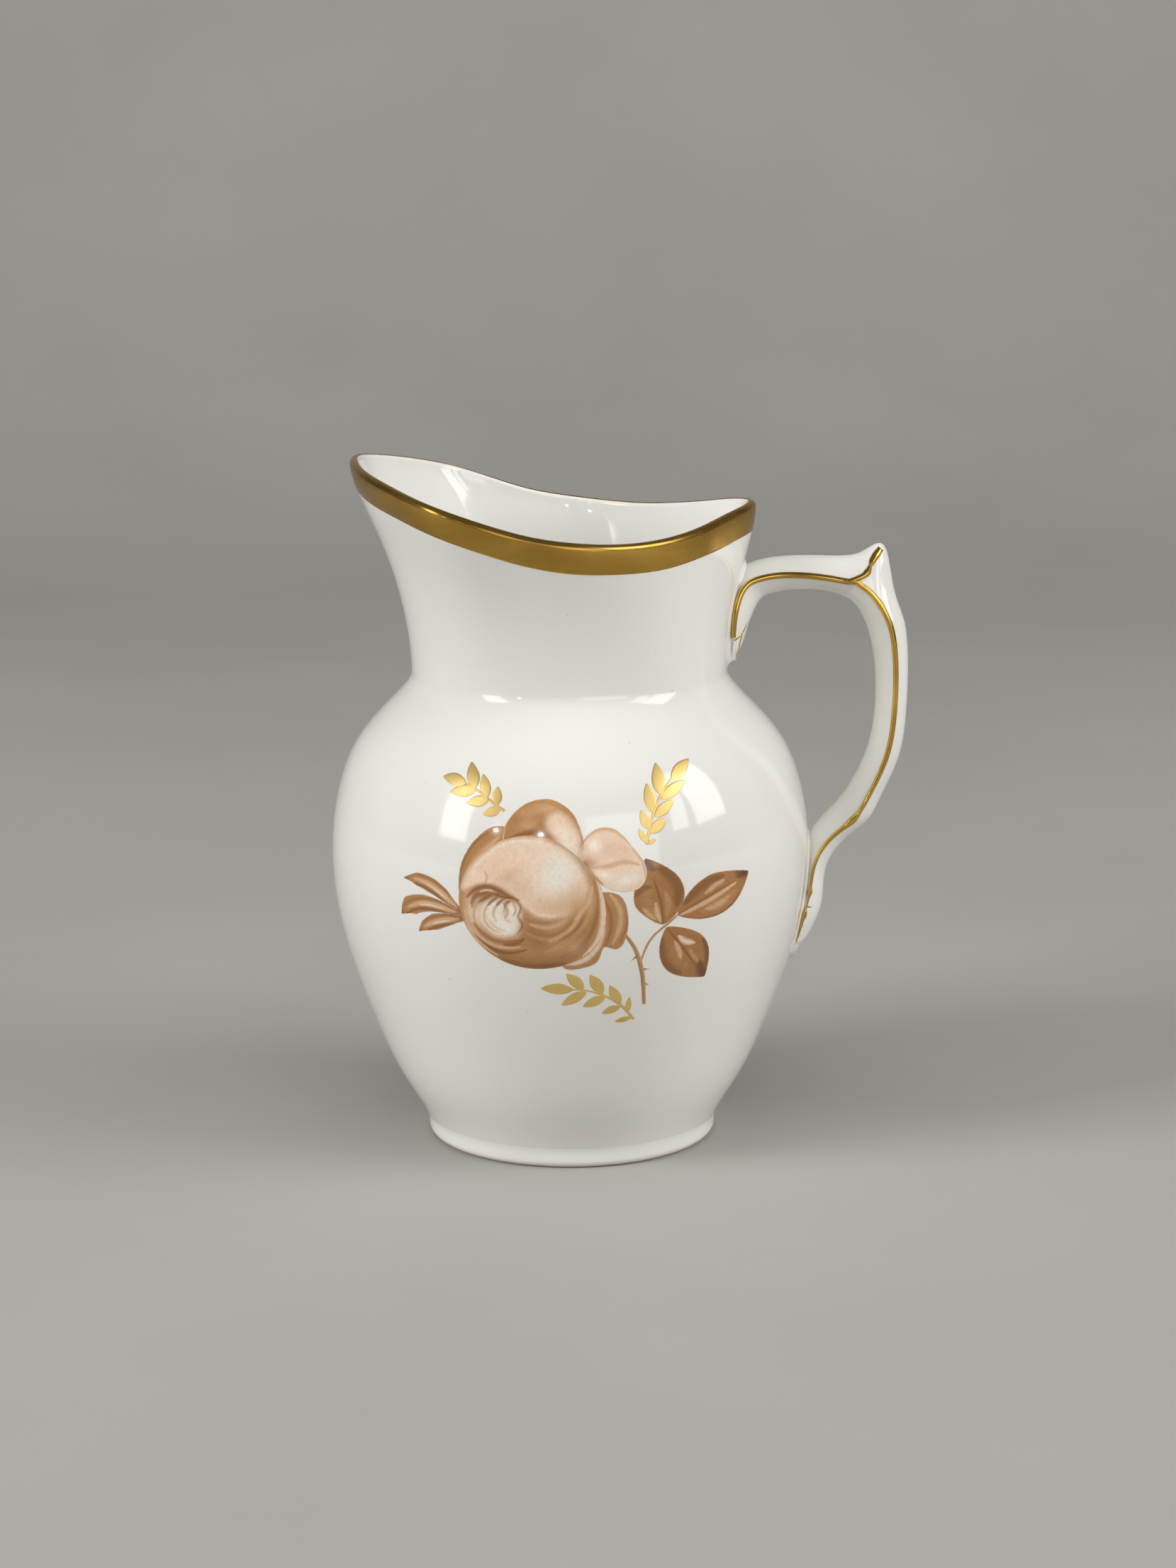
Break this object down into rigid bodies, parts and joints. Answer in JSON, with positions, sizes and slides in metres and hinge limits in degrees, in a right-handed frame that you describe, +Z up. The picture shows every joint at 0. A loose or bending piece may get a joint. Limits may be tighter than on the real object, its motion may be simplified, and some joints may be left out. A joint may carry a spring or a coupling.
{
  "type": "porcelain cream jug",
  "caption": "Small round-bellied porcelain jug with a flared pouring lip, an angular handle with a thumb peak, gold lines and a painted rose spray.",
  "frame": {"origin": "centre of the foot ring at the surface the jug stands on, on the axis of the belly", "axes": "+Z up along the axis of the belly, +X towards the handle, -X towards the spout, the painted side faces -Y"},
  "size_m": [0.0965, 0.0802, 0.1151],
  "materials": {
    "porcelain": "clear glossy glaze over white porcelain",
    "foot_porcelain": "glazed sides, bottom edge wiped bare",
    "gilding": "burnished gold fired on the glaze",
    "rose_enamel": "glossy painted enamel, pink-beige to brown",
    "leaf_enamel": "glossy painted enamel, warm brown",
    "spray_gold": "thin painted gold, satin"
  },
  "bodies": {
    "root": {"body": "porcelain", "foot_ring": "foot_porcelain", "handle": "porcelain", "upper_lute": "porcelain", "lower_lute": "porcelain", "rim_gilding": "gilding", "handle_gilding_front": "gilding", "handle_gilding_back": "gilding", "thumb_gilding_front": "gilding", "thumb_gilding_back": "gilding", "rose_bloom": "rose_enamel", "rose_petal_top": "rose_enamel", "rose_petal_left": "rose_enamel", "rose_petals_right": "rose_enamel", "rose_under_petals": "rose_enamel", "rose_sepals": "leaf_enamel", "rose_stem": "leaf_enamel", "leaf_upper": "leaf_enamel", "leaf_right": "leaf_enamel", "leaf_lower": "leaf_enamel", "gold_spray_left": "spray_gold", "gold_spray_right": "spray_gold", "gold_spray_lower": "spray_gold"}
  },
  "joints": []
}
